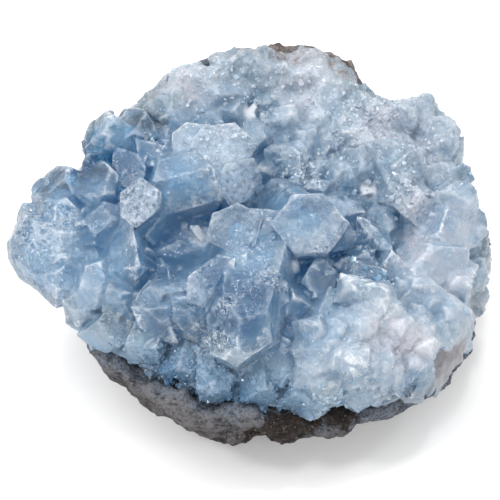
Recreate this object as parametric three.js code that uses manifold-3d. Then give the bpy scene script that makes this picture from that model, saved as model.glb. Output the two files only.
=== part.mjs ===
// A celestite specimen broken from a geode: a bowl of weathered matrix rock, the rind, filled and overgrown by
// one crust of blue celestite crystals. Millimetres, +Z up, +Y to the back, resting on a flat at z = 0.
import * as THREE from "three";
import { ConvexGeometry } from "three/addons/geometries/ConvexGeometry.js";
import { ImprovedNoise } from "three/addons/math/ImprovedNoise.js";
import { mergeVertices } from "three/addons/utils/BufferGeometryUtils.js";
import Module from "manifold-3d";

const wasm = await Module();
wasm.setup();

const turn = 2 * Math.PI;
const { degToRad, lerp, clamp, seededRandom } = THREE.MathUtils;
const noise = new ImprovedNoise();

// ---------- Driving dimensions ----------

// Going round the bowl from the right (+X) by way of the back (+Y), every 30 degrees.
const rindReach = [57.5, 59.5, 56.5, 53, 47.5, 45, 43.5, 44, 46, 49, 50, 54.5];
const rindTop = [18, 30, 41, 50, 42.5, 33, 21, 20, 22.5, 21.5, 19, 14];
const crustReach = [59, 60, 56, 51, 49, 46.5, 50, 45.5, 41, 44.5, 48, 55.5];
const crustEdge = [28, 37, 43, 49, 48, 42, 34, 26, 26, 25, 25, 24];

const belly = 0.78; // the lower, the fuller the bowl's sides
const wall = 5; // thickness of the rind
const gap = 0.5; // between the rind and the crust that fills it
const clearance = 0.35; // kept where a crystal passes over the rind
const flatSink = 1.3; // how much of the round underside is missing at the flat that it rests on
const sectors = 46; // of the rind and of the crust's body

const crown = 40; // height of the crust in the middle
const sunken = 2; // how far below the crystals' ground the solid body of the crust lies
const fillers = 74; // small crystals seeded; those under a named one are left out
// Dips: a wide one towards the back, and two small deep ones between the largest crystals. No small crystals
// are seeded within the bare distance of a dip's middle.
const hollows = [
  { x: 9, y: 20, wide: 12, deep: 6 },
  { x: -20, y: -15, wide: 5, deep: 8, bare: 9.5 },
  { x: 30, y: -8, wide: 7, deep: 4 },
];

// The crystals are mapped from one viewpoint, in front and above: right and up on a plane that faces it.
const viewpoint = { elevation: degToRad(47), distance: 520, height: 28 };

// Celestite's unit cell, whose shape sets the angles between the faces.
const cell = { a: 8.36, b: 5.35, c: 6.87 };

// ---------- Shapes of the bowl and the crust ----------

// A smooth closed curve through evenly spaced values.
function around(values, angle) {
  const place = (((angle / turn) % 1) + 1) % 1 * values.length;
  const i = Math.floor(place);
  const t = place - i;
  const [a, b, c, d] = [-1, 0, 1, 2].map((k) => values[(i + k + values.length) % values.length]);
  return 0.5 * (2 * b + (c - a) * t + (2 * a - 5 * b + 4 * c - d) * t * t + (3 * b - a - 3 * c + d) * t ** 3);
}

// Lumps of about the given size, from -1 to 1.
function lumps(x, y, z, size, salt = 0) {
  return 1.6 * noise.noise(x / size + salt, y / size + 3.7 * salt, z / size + 7.1);
}

// The top of the rind's broken edge.
function brink(angle) {
  const typical = 50;
  const x = typical * Math.cos(angle);
  const y = typical * Math.sin(angle);
  return around(rindTop, angle) + 1.8 * lumps(x, y, 0, 9) + 1.3 * lumps(x, y, 0, 4.3, 2);
}

// The bowl, from the middle of its underside (climb 0) to its edge (climb 1). inset is measured inwards.
function bowl(angle, climb, inset, rough) {
  const lean = climb * 0.5 * Math.PI;
  const reach = around(rindReach, angle) - inset;
  const top = brink(angle) + flatSink;
  const radius = reach * Math.sin(lean) ** belly;
  const x = radius * Math.cos(angle);
  const y = radius * Math.sin(angle);
  const z = top - (top - inset) * Math.cos(lean) - flatSink;
  const bulge = rough * (2.6 * lumps(x, y, z, 19, 1) + 2.2 * lumps(x, y, z, 7, 4) + 0.9 * lumps(x, y, z, 4, 6));
  const grown = 1 + (bulge * Math.sin(lean)) / reach;
  return new THREE.Vector3(x * grown, y * grown, Math.max(z, inset));
}

// Height of the ground that the crystals stand on.
function ground(x, y) {
  const angle = Math.atan2(y, x);
  const out = Math.min(Math.hypot(x, y) / around(crustReach, angle), 1.15);
  const dips = hollows.map((h) => h.deep * Math.exp(-((x - h.x) ** 2 + (y - h.y) ** 2) / (2 * h.wide ** 2)));
  const dip = dips.reduce((sum, depth) => sum + depth);
  return lerp(crown, around(crustEdge, angle), out ** 2) - dip + 1.2 * lumps(x, y, 0, 11, 5);
}

// ---------- Making solids ----------

function toSolid(geometry) {
  const loose = geometry.index ? geometry.toNonIndexed() : geometry;
  const bare = new THREE.BufferGeometry().setAttribute("position", loose.getAttribute("position"));
  const merged = mergeVertices(bare, 1e-3);
  return new wasm.Manifold(
    new wasm.Mesh({
      numProp: 3,
      vertProperties: merged.attributes.position.array,
      triVerts: merged.index.array,
    }),
  );
}

function toGeometry(solid) {
  const { numProp, numVert, vertProperties, triVerts } = solid.getMesh();
  const points = new Float32Array(3 * numVert);
  for (let i = 0; i < numVert; i++) points.set(vertProperties.subarray(i * numProp, i * numProp + 3), 3 * i);
  const geometry = new THREE.BufferGeometry().setAttribute("position", new THREE.BufferAttribute(points, 3));
  geometry.setIndex(new THREE.BufferAttribute(triVerts, 1));
  geometry.computeVertexNormals();
  return geometry;
}

// A lathe with one row of points for each entry, each then put where its entry says for that angle.
function turned(rows) {
  const profile = rows.map((_, i) => new THREE.Vector2(Math.sin((i / (rows.length - 1)) * Math.PI), i));
  const lathe = new THREE.LatheGeometry(profile, sectors);
  const position = lathe.getAttribute("position");
  for (let s = 0; s <= sectors; s++) {
    rows.forEach((row, r) => {
      const p = row(((s % sectors) / sectors) * turn);
      position.setXYZ(s * rows.length + r, p.x, p.y, p.z);
    });
  }
  return toSolid(lathe);
}

const steps = (count, from, to) => Array.from({ length: count }, (_, i) => lerp(from, to, i / (count - 1)));

// The biggest of a solid's separate pieces.
function biggest(solid) {
  return solid.decompose().reduce((a, b) => (b.volume() > a.volume() ? b : a));
}

// ---------- The rind ----------

// The bowl of the rind, grown on all sides by extra.
function rindShell(extra) {
  const grown = (climb, inset, rough, side) => (angle) => {
    const lean = climb * 0.5 * Math.PI;
    const point = bowl(angle, climb, inset, rough);
    point.x += side * extra * Math.sin(lean) * Math.cos(angle);
    point.y += side * extra * Math.sin(lean) * Math.sin(angle);
    point.z = climb === 1 ? brink(angle) + extra : point.z - side * extra * Math.cos(lean);
    return point;
  };
  const outside = steps(13, 0, 1).map((climb) => grown(climb, 0, 1, 1));
  const inside = steps(4, 1, 0).map((climb) => grown(climb, wall, 0, -1));
  return turned([...outside, ...inside]);
}

// Rounded lumps of matrix rock: right, back and up from the middle of the flat, and across.
const nodules = [
  { at: [-4, -44.2, 16.8], across: 11 },
  { at: [7, -45.8, 16.8], across: 10 },
  { at: [18, -44.6, 17.6], across: 9 },
];

// The whole rind, grown on all sides by extra.
function rindSolid(extra) {
  const lumpy = nodules.map(({ at, across }) => {
    const ball = new THREE.IcosahedronGeometry(1, 1);
    const position = ball.getAttribute("position");
    const point = new THREE.Vector3();
    for (let i = 0; i < position.count; i++) {
      point.fromBufferAttribute(position, i);
      const radius = 0.5 * across * (1 + 0.35 * lumps(3 * point.x + at[0], 3 * point.y, 3 * point.z, 2.7, 9));
      point.multiplyScalar(radius + extra);
      position.setXYZ(i, point.x, point.y, 0.85 * point.z);
    }
    return toSolid(ball).translate(at);
  });
  return wasm.Manifold.union([rindShell(extra), ...lumpy]);
}

// ---------- The crust's body ----------

function crustBody() {
  const inner = steps(4, 0, 1).map((climb) => (angle) => bowl(angle, climb, wall + gap, 0));
  inner[3] = (angle) => bowl(angle, 1, wall + gap, 0).setZ(brink(angle) + gap);
  const lip = (inset, share) => (angle) => {
    const reach = around(crustReach, angle) - inset + 0.9 * lumps(angle * 9, share * 3, 0, 1, 8);
    const x = reach * Math.cos(angle);
    const y = reach * Math.sin(angle);
    return new THREE.Vector3(x, y, lerp(brink(angle) + gap, ground(x, y) - sunken, share));
  };
  const top = [0.88, 0.74, 0.56, 0.36, 0.16, 0].map((out) => (angle) => {
    const reach = out * around(crustReach, angle);
    const x = reach * Math.cos(angle);
    const y = reach * Math.sin(angle);
    return new THREE.Vector3(x, y, ground(x, y) - sunken);
  });
  return turned([...inner, lip(1.5, 0.04), lip(0, 0.5), lip(2, 1), ...top]);
}

// All that lies under the crust: crystals keep off it, however long their roots are.
function below() {
  const row = (share, inset, lift) => (angle) => {
    const reach = Math.max(share * around(rindReach, angle) - inset, 0);
    return new THREE.Vector3(reach * Math.cos(angle), reach * Math.sin(angle), brink(angle) + lift);
  };
  const level = (share, z) => (angle) => row(share, 0, 0)(angle).setZ(z);
  const hang = 8; // how far crystals outside the rind may reach below its edge
  const shelf = gap + 0.4;
  return turned([
    level(0, -20),
    level(1.6, -20),
    row(1.6, 0, -hang),
    row(1, -gap, shelf),
    row(1, wall + 1, shelf),
    row(1, wall + 2.5, -4),
    level(0, 8),
  ]);
}

// ---------- Crystals ----------

// One celestite crystal, with its tip at the origin and its root below it. A plain one lacks the narrower faces,
// and taper leans its sides in towards the tip.
function crystalGeometry({ width, depth, length, flat, plain, taper = 0 }) {
  const planes = [];
  const face = (h, k, l, distance) => {
    const lean = h === 0 ? taper / cell.b : h / cell.a;
    const normal = new THREE.Vector3(k / cell.b, l / cell.c, lean).normalize();
    planes.push({ normal, distance });
  };
  const uneven = () => 0.84 + 0.26 * seededRandom();
  const prism = 1.12 * new THREE.Vector3(0, 1 / cell.b, 1 / cell.c).normalize().y;
  for (const k of [1, -1]) {
    for (const l of [1, -1]) face(0, k, l, 0.5 * width * prism * uneven());
    if (!plain) face(0, 0, k, 0.5 * depth * uneven());
    face(2, k, 0, 0);
    if (!plain) face(1, 0, k, 0);
  }
  // The four sloping faces meet near the tip; a tip can also be cut flat.
  const sloping = 0.35;
  planes.forEach((p) => {
    if (p.normal.z > sloping) p.distance = p.normal.z * (flat + 0.1 * width * seededRandom());
  });
  planes.push({ normal: new THREE.Vector3(0, 0, 1), distance: 0 });
  planes.push({ normal: new THREE.Vector3(0, 0, -1), distance: length });
  return new ConvexGeometry(cornersOf(planes));
}

// The corners of the solid that lies behind all of the planes.
function cornersOf(planes) {
  const corners = [];
  const apart = new THREE.Matrix3();
  for (let i = 0; i < planes.length; i++) {
    for (let j = i + 1; j < planes.length; j++) {
      for (let k = j + 1; k < planes.length; k++) {
        const [a, b, c] = [planes[i], planes[j], planes[k]];
        apart.set(...a.normal.toArray(), ...b.normal.toArray(), ...c.normal.toArray());
        if (Math.abs(apart.determinant()) < 1e-4) continue;
        const point = new THREE.Vector3(a.distance, b.distance, c.distance).applyMatrix3(apart.invert());
        const inside = planes.every((p) => p.normal.dot(point) < p.distance + 1e-5);
        if (inside && corners.every((other) => other.distanceTo(point) > 0.02)) corners.push(point);
      }
    }
  }
  return corners;
}

// The crystal with its tip at a point, growing along a direction, turned about it by roll degrees.
function crystalAt(tip, direction, roll, form) {
  const z = direction.clone().normalize();
  const x = new THREE.Vector3(0, 1, 0.2).cross(z).normalize();
  const y = new THREE.Vector3().crossVectors(z, x);
  const place = new THREE.Matrix4().makeBasis(x, y, z).setPosition(tip);
  const turnedBy = new THREE.Matrix4().makeRotationZ(degToRad(roll));
  return toSolid(crystalGeometry(form).applyMatrix4(place.multiply(turnedBy)));
}

const { elevation } = viewpoint;
const rightward = new THREE.Vector3(1, 0, 0);
const upward = new THREE.Vector3(0, Math.sin(elevation), Math.cos(elevation));
const outward = new THREE.Vector3(0, -Math.cos(elevation), Math.sin(elevation));

function fromView(right, up, out) {
  return new THREE.Vector3()
    .addScaledVector(rightward, right)
    .addScaledVector(upward, up)
    .addScaledVector(outward, out);
}

// Where the line of sight through a place on the map comes within a given height of the ground.
function sighted(right, up, rise) {
  const eye = fromView(0, 0, viewpoint.distance).setZ(viewpoint.distance * Math.sin(elevation) + viewpoint.height);
  const aim = fromView(right, up, 0);
  aim.z += viewpoint.height;
  let [near, far] = [0.8, 1.25];
  const point = new THREE.Vector3();
  for (let i = 0; i < 40; i++) {
    const middle = 0.5 * (near + far);
    point.lerpVectors(eye, aim, middle);
    if (point.z > ground(point.x, point.y) + rise) near = middle;
    else far = middle;
  }
  return point;
}

// at: right and up on the map. rise: height of the tip above the ground. points: right, up and out.
const namedCrystals = [
  // left wing
  { at: [-60, 0], rise: 5, points: [-0.92, 0, 0.35], roll: 70, size: [21, 20], long: 40, flat: 0.8 },
  { at: [-50, 8], rise: 7, points: [-0.6, 0.3, 0.6], roll: 60, size: [15, 13], long: 28, flat: 3 },
  { at: [-51, -10], rise: 2, points: [-0.62, -0.5, 0.4], roll: 0, size: [15, 13], long: 30, flat: 3 },
  { at: [-48, 15.5], rise: 5, points: [-0.65, 0.35, 0.4], roll: 30, size: [13, 12], long: 28, flat: 3 },
  { at: [-39, 17], rise: 8, points: [-0.3, 0.4, 0.7], roll: 80, size: [12, 11], long: 24, flat: 3 },
  { at: [-38, 7], rise: 8, points: [-0.1, 0.35, 0.9], roll: 40, size: [14, 12], long: 26, flat: 2 },
  { at: [-40, -10], rise: 7, points: [-0.35, -0.3, 0.8], roll: 45, size: [13, 12], long: 26, flat: 3 },
  { at: [-33, -14], rise: 4, points: [-0.1, -0.5, 0.7], roll: 10, size: [9, 8], long: 20, flat: 0.5 },
  // back left
  { at: [-40, 29], rise: 7, points: [-0.6, 0.45, 0.4], roll: 15, size: [15, 14], long: 28, flat: 4 },
  { at: [-30, 32], rise: 6, points: [-0.2, 0.6, 0.6], roll: 70, size: [12, 11], long: 24, flat: 3 },
  { at: [-31, 20], rise: 7, points: [-0.2, 0.2, 0.9], roll: 30, size: [10, 9], long: 22, flat: 2 },
  { at: [-24, 23], rise: 5, points: [0.2, 0.3, 0.9], roll: 50, size: [10, 9], long: 22, flat: 1 },
  // six-sided end that faces the viewpoint, and its neighbours
  { at: [-28, 11.7], rise: 13, points: [-0.04, 0.04, 1], roll: 90, size: [11.2, 10.5], long: 22, flat: 5 },
  { at: [-29, -8.5], rise: 6, points: [0.2, -0.7, 0.7], roll: 30, size: [10, 9], long: 20, flat: 0, taper: 0.15 },
  { at: [-20, -3], rise: 3, points: [0.25, 0.3, 0.9], roll: 30, size: [13, 12], long: 24, flat: 5 },
  { at: [-16, 14.5], rise: 8, points: [0.1, -0.2, 0.95], roll: 20, size: [20, 15], long: 30, flat: 5 },
  { at: [-8, 26], rise: 10, points: [0.1, 0.3, 0.95], roll: 10, size: [17, 11], long: 28, flat: 6 },
  { at: [-15, 27], rise: 9, points: [-0.1, 0.35, 0.9], roll: 40, size: [12, 9], long: 26, flat: 5 },
  { at: [-3, 17], rise: 9, points: [0.3, -0.1, 0.95], roll: 75, size: [12, 10], long: 26, flat: 5 },
  // middle
  { at: [-4.5, 5.5], rise: 12, points: [-0.1, 0.05, 1], roll: 20, size: [13.5, 12], long: 30, flat: 8 },
  { at: [5, 3], rise: 8, points: [0.35, -0.1, 0.9], roll: 50, size: [9, 10], long: 26, flat: 1.5 },
  { at: [14, 6.5], rise: 11, points: [0.1, 0.15, 0.97], roll: 5, size: [19, 14], long: 30, flat: 8 },
  { at: [20, 3], rise: 8, points: [0.5, -0.35, 0.8], roll: 30, size: [13, 12], long: 28, flat: 4 },
  // front
  { at: [-4.5, -26], rise: 12, points: [-0.16, -0.68, 0.7], roll: 22, size: [17, 15], long: 38, flat: 1.5, taper: 0.1 },
  { at: [4, -14], rise: 10, points: [0.3, -0.4, 0.85], roll: 60, size: [13, 10], long: 32, flat: 2 },
  { at: [-10, -8], rise: 10, points: [-0.2, 0.1, 0.95], roll: 30, size: [14, 9], long: 30, flat: 5 },
  { at: [-26, -12], rise: 7, points: [-0.75, -0.1, 0.6], roll: 80, size: [9, 8], long: 30, flat: 1 },
  { at: [-24, -19], rise: 7, points: [-0.4, -0.5, 0.7], roll: 15, size: [10, 10], long: 24, flat: 2 },
  { at: [-15, -19], rise: 6, points: [0.1, -0.5, 0.8], roll: 50, size: [10, 9], long: 24, flat: 1 },
  // small ones above the rind in front
  { at: [-44.5, -17], rise: 2, points: [-0.6, -0.55, 0.5], roll: 20, size: [11, 10], long: 20, flat: 2.5 },
  { at: [-38, -22.5], rise: 1, points: [-0.5, -0.6, 0.5], roll: 30, size: [10, 9], long: 18, flat: 2 },
  { at: [-27, -26], rise: 1, points: [-0.3, -0.7, 0.5], roll: 70, size: [9, 8], long: 16, flat: 3 },
  { at: [-18, -31], rise: 1, points: [-0.2, -0.8, 0.5], roll: 10, size: [8, 8], long: 16, flat: 2 },
  { at: [-9, -36], rise: 0, points: [0, -0.8, 0.5], roll: 50, size: [9, 8], long: 16, flat: 3 },
  { at: [2, -37], rise: 0, points: [0.1, -0.8, 0.5], roll: 80, size: [9, 7], long: 16, flat: 2 },
  { at: [12, -38], rise: 0, points: [-0.1, -0.8, 0.5], roll: 20, size: [9, 9], long: 16, flat: 3 },
  // along the back
  { at: [-23.5, 38], rise: 3, points: [-0.5, 0.7, 0.3], roll: 20, size: [12, 11], long: 24, flat: 3 },
  { at: [-14, 45.5], rise: 3, points: [-0.25, 0.85, 0.3], roll: 50, size: [17, 13], long: 28, flat: 4 },
  { at: [-2, 49], rise: 3, points: [0, 0.9, 0.3], roll: 5, size: [15, 12], long: 26, flat: 4 },
  { at: [12, 46], rise: 1.5, points: [0.1, 0.85, 0.4], roll: 35, size: [17, 12], long: 26, flat: 6 },
  { at: [23, 42.5], rise: 1.5, points: [0.2, 0.7, 0.5], roll: 70, size: [12, 11], long: 24, flat: 4 },
  { at: [32, 37.5], rise: 1, points: [0.3, 0.6, 0.5], roll: 10, size: [13, 12], long: 24, flat: 4 },
  { at: [44.5, 37], rise: 3, points: [0.5, 0.75, 0.3], roll: 50, size: [12, 12], long: 28, flat: 2 },
  { at: [52, 27.5], rise: 3, points: [0.75, 0.45, 0.3], roll: 20, size: [14, 12], long: 28, flat: 2 },
  { at: [55, 17], rise: 3, points: [0.85, 0.2, 0.3], roll: 65, size: [13, 12], long: 26, flat: 2 },
  // right of the middle
  { at: [17, -7], rise: 4, points: [0.1, 0.1, 1], roll: 10, size: [9, 8], long: 20, flat: 2 },
  { at: [30, 4], rise: 5, points: [0.1, 0.4, 0.9], roll: 40, size: [9, 6], long: 22, flat: 0.5 },
  { at: [26, -5], rise: 4, points: [0, -0.2, 1], roll: 70, size: [9, 8], long: 20, flat: 2 },
  { at: [35, -6], rise: 4, points: [0.3, -0.1, 0.9], roll: 20, size: [9, 8], long: 20, flat: 2 },
  { at: [42, 9], rise: 7, points: [0.45, -0.45, 0.8], roll: 45, size: [9, 8], long: 24, flat: 1.5 },
  { at: [37, 18], rise: 5, points: [0.2, 0.1, 1], roll: 0, size: [10, 9], long: 22, flat: 4 },
  { at: [52, 6], rise: 6, points: [0.6, 0.1, 0.7], roll: 30, size: [17, 14], long: 30, flat: 6 },
  { at: [47, -6], rise: 5, points: [0.4, -0.2, 0.9], roll: 65, size: [18, 15], long: 30, flat: 7 },
  { at: [55, -10], rise: 3, points: [0.8, -0.3, 0.4], roll: 10, size: [10, 9], long: 22, flat: 3 },
  // front right
  { at: [15, -29.5], rise: 9, points: [-0.3, -0.6, 0.75], roll: 65, size: [16, 12], long: 20, flat: 4 },
  { at: [11.5, -17], rise: 2, points: [0.2, -0.5, 0.8], roll: 35, size: [10, 9], long: 20, flat: 2 },
  { at: [27, -16], rise: 8, points: [0, 0.05, 1], roll: 10, size: [15, 13], long: 30, flat: 6 },
  { at: [32, -22], rise: 8, points: [0.2, -0.45, 0.85], roll: 50, size: [14, 12], long: 30, flat: 4 },
  { at: [25, -33], rise: 7, points: [-0.1, -0.8, 0.6], roll: 60, size: [14, 12], long: 30, flat: 3 },
  { at: [31, -33], rise: 7, points: [0.15, -0.8, 0.6], roll: 20, size: [12, 12], long: 28, flat: 3 },
  { at: [37, -24], rise: 8, points: [0.25, -0.45, 0.85], roll: 40, size: [13, 12], long: 28, flat: 4 },
  { at: [44, -23], rise: 6, points: [0.45, -0.5, 0.75], roll: 75, size: [12, 11], long: 26, flat: 3 },
  { at: [42, -13], rise: 6, points: [0.3, -0.2, 0.9], roll: 15, size: [13, 12], long: 26, flat: 5 },
  { at: [52, -19], rise: 4, points: [0.75, -0.4, 0.5], roll: 45, size: [11, 10], long: 24, flat: 2 },
  { at: [41, -32], rise: 3, points: [0.4, -0.75, 0.5], roll: 0, size: [11, 9], long: 22, flat: 2 },
];

function namedCluster() {
  return namedCrystals.map(({ at, rise, points, roll, size, long, flat, taper }) => {
    const form = { width: size[0], depth: size[1], length: long, flat, plain: size[0] < 11, taper };
    return crystalAt(sighted(at[0], at[1], rise), fromView(...points), roll, form);
  });
}

// How coarse the crystals grow: large on the left, small to the right and along the back.
function coarseness(x, y) {
  return clamp(0.62 - 0.012 * x - 0.009 * y, 0.25, 1);
}

// Smaller crystals between the named ones, spread like seeds in a sunflower.
function filling() {
  const golden = Math.PI * (3 - Math.sqrt(5));
  const tips = namedCrystals.map(({ at, rise, size }) => ({ tip: sighted(at[0], at[1], rise), size }));
  const seeds = steps(fillers, 0.02, 1).map((share, i) => {
    const out = 0.97 * share ** 0.45;
    const reach = around(crustReach, i * golden) * out;
    return new THREE.Vector3(reach * Math.cos(i * golden), reach * Math.sin(i * golden), out);
  });
  const free = seeds.filter(
    (seed) =>
      tips.every(({ tip, size }) => Math.hypot(tip.x - seed.x, tip.y - seed.y) > 0.45 * size[0]) &&
      hollows.every(({ x, y, bare = 0 }) => Math.hypot(x - seed.x, y - seed.y) > bare),
  );
  const stray = () => 0.8 * (seededRandom() - 0.5);
  return free.map(({ x, y, z: out }) => {
    const coarse = coarseness(x, y) * (0.8 + 0.5 * seededRandom());
    const width = 9 + 4 * coarse;
    const direction = new THREE.Vector3(0.01 * out * x + stray(), 0.01 * out * y - 0.2 + stray(), 1);
    const form = {
      width,
      depth: width * (0.7 + 0.4 * seededRandom()),
      length: 1.8 * width,
      flat: 0.35 * width * seededRandom(),
      plain: true,
    };
    const tip = new THREE.Vector3(x, y, ground(x, y) + 0.3 + 2.6 * coarse);
    return crystalAt(tip, direction, 360 * seededRandom(), form);
  });
}

// ---------- The two pieces ----------

seededRandom(5);
const crystals = wasm.Manifold.union([...namedCluster(), ...filling()]).subtract(below());
const crust = biggest(crystals.add(crustBody()).subtract(rindSolid(clearance)));
const rind = rindSolid(0);

// The origin is under the middle of the whole specimen.
const box = wasm.Manifold.union([rind, crust]).boundingBox();
const shift = [-0.5 * (box.min[0] + box.max[0]), -0.5 * (box.min[1] + box.max[1]), -box.min[2]];

// Merges near corners until nothing changes any more, and drops the slivers that come loose.
function settled(solid) {
  return steps(5, 0, 1).reduce((body) => biggest(toSolid(toGeometry(body)).simplify(0.005)), solid);
}

function piece(name, solid, color, roughness) {
  const placed = settled(solid.translate(shift));
  const material = new THREE.MeshStandardMaterial({ color, roughness, metalness: 0, flatShading: true });
  const mesh = new THREE.Mesh(toGeometry(placed), material);
  mesh.name = name;
  return mesh;
}

const specimen = new THREE.Group();
specimen.add(piece("rind", rind, "#6f6a6a", 0.9));
specimen.add(piece("crystal_crust", crust, "#9dbbd2", 0.25));

export default specimen;
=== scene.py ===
import math

import bmesh
import bpy
import numpy as np
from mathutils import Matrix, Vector
from mathutils.bvhtree import BVHTree


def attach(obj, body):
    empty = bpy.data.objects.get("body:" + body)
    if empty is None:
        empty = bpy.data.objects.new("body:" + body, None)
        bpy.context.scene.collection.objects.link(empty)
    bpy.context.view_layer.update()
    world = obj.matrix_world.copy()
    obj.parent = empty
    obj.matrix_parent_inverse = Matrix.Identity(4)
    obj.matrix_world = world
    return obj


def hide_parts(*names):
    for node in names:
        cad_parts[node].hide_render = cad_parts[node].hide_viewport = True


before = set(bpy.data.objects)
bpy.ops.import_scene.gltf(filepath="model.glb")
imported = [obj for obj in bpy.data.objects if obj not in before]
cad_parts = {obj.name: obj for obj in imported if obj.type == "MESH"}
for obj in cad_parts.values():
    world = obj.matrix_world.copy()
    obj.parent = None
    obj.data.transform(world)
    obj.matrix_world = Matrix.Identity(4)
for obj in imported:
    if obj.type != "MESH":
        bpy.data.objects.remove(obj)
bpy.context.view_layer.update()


def selectOnly(piece):
    bpy.ops.object.select_all(action="DESELECT")
    piece.select_set(True)
    bpy.context.view_layer.objects.active = piece


def newObject(name, data):
    made = bpy.data.objects.new(name, data)
    bpy.context.collection.objects.link(made)
    return made


def copyOfNode(node, name):
    # the loose triangles of the solid, merged into one closed mesh
    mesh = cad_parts[node].data.copy()
    mesh.materials.clear()
    piece = newObject(name, mesh)
    selectOnly(piece)
    if mesh.has_custom_normals:
        bpy.ops.mesh.customdata_custom_splitnormals_clear()
    bpy.ops.object.mode_set(mode="EDIT")
    bpy.ops.mesh.select_all(action="SELECT")
    bpy.ops.mesh.remove_doubles(threshold=1e-6)
    bpy.ops.mesh.normals_make_consistent(inside=False)
    bpy.ops.object.mode_set(mode="OBJECT")
    return piece


def addModifier(piece, kind, **values):
    modifier = piece.modifiers.new(kind.lower(), kind)
    for key, value in values.items():
        setattr(modifier, key, value)
    return modifier


def applyModifiers(piece):
    selectOnly(piece)
    for modifier in list(piece.modifiers):
        bpy.ops.object.modifier_apply(modifier=modifier.name)


def places(mesh):
    flat = np.empty(len(mesh.vertices) * 3)
    mesh.vertices.foreach_get("co", flat)
    return flat.reshape(-1, 3)


def outward(mesh):
    flat = np.empty(len(mesh.vertices) * 3)
    mesh.vertex_normals.foreach_get("vector", flat)
    return flat.reshape(-1, 3)


def edgesOf(mesh):
    flat = np.empty(len(mesh.edges) * 2, int)
    mesh.edges.foreach_get("vertices", flat)
    return flat.reshape(-1, 2)


def addGroup(piece, name, weights):
    group = piece.vertex_groups.new(name=name)
    for index in np.flatnonzero(weights):
        group.add([int(index)], weights[index], "REPLACE")


def newTexture(name, kind, **values):
    texture = bpy.data.textures.new(name, kind)
    for key, value in values.items():
        setattr(texture, key, value)
    return texture


def displace(piece, texture, strength, group="", **values):
    addModifier(piece, "DISPLACE", texture=texture, strength=strength, mid_level=0.5,
                vertex_group=group, **values)


def smoothed(points, edges, rounds):
    # each point moves halfway to the middle of its neighbours, several times over
    count = len(points)
    degree = np.maximum(np.bincount(edges.ravel(), minlength=count), 1)[:, None]
    for _ in range(rounds):
        total = np.empty_like(points)
        for axis in range(points.shape[1]):
            column = points[:, axis]
            total[:, axis] = np.bincount(edges[:, 0], column[edges[:, 1]], count)
            total[:, axis] += np.bincount(edges[:, 1], column[edges[:, 0]], count)
        points = 0.5 * points + 0.5 * total / degree
    return points


def keep(piece, name, values):
    attribute = piece.data.attributes.get(name) or piece.data.attributes.new(name, "FLOAT", "POINT")
    attribute.data.foreach_set("value", np.asarray(values, np.float32))


def kept(piece, name):
    values = np.empty(len(piece.data.vertices), np.float32)
    piece.data.attributes[name].data.foreach_get("value", values)
    return values.astype(float)


def ramp(values, low, high):
    share = np.clip((values - low) / (high - low), 0, 1)
    return share * share * (3 - 2 * share)


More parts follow.
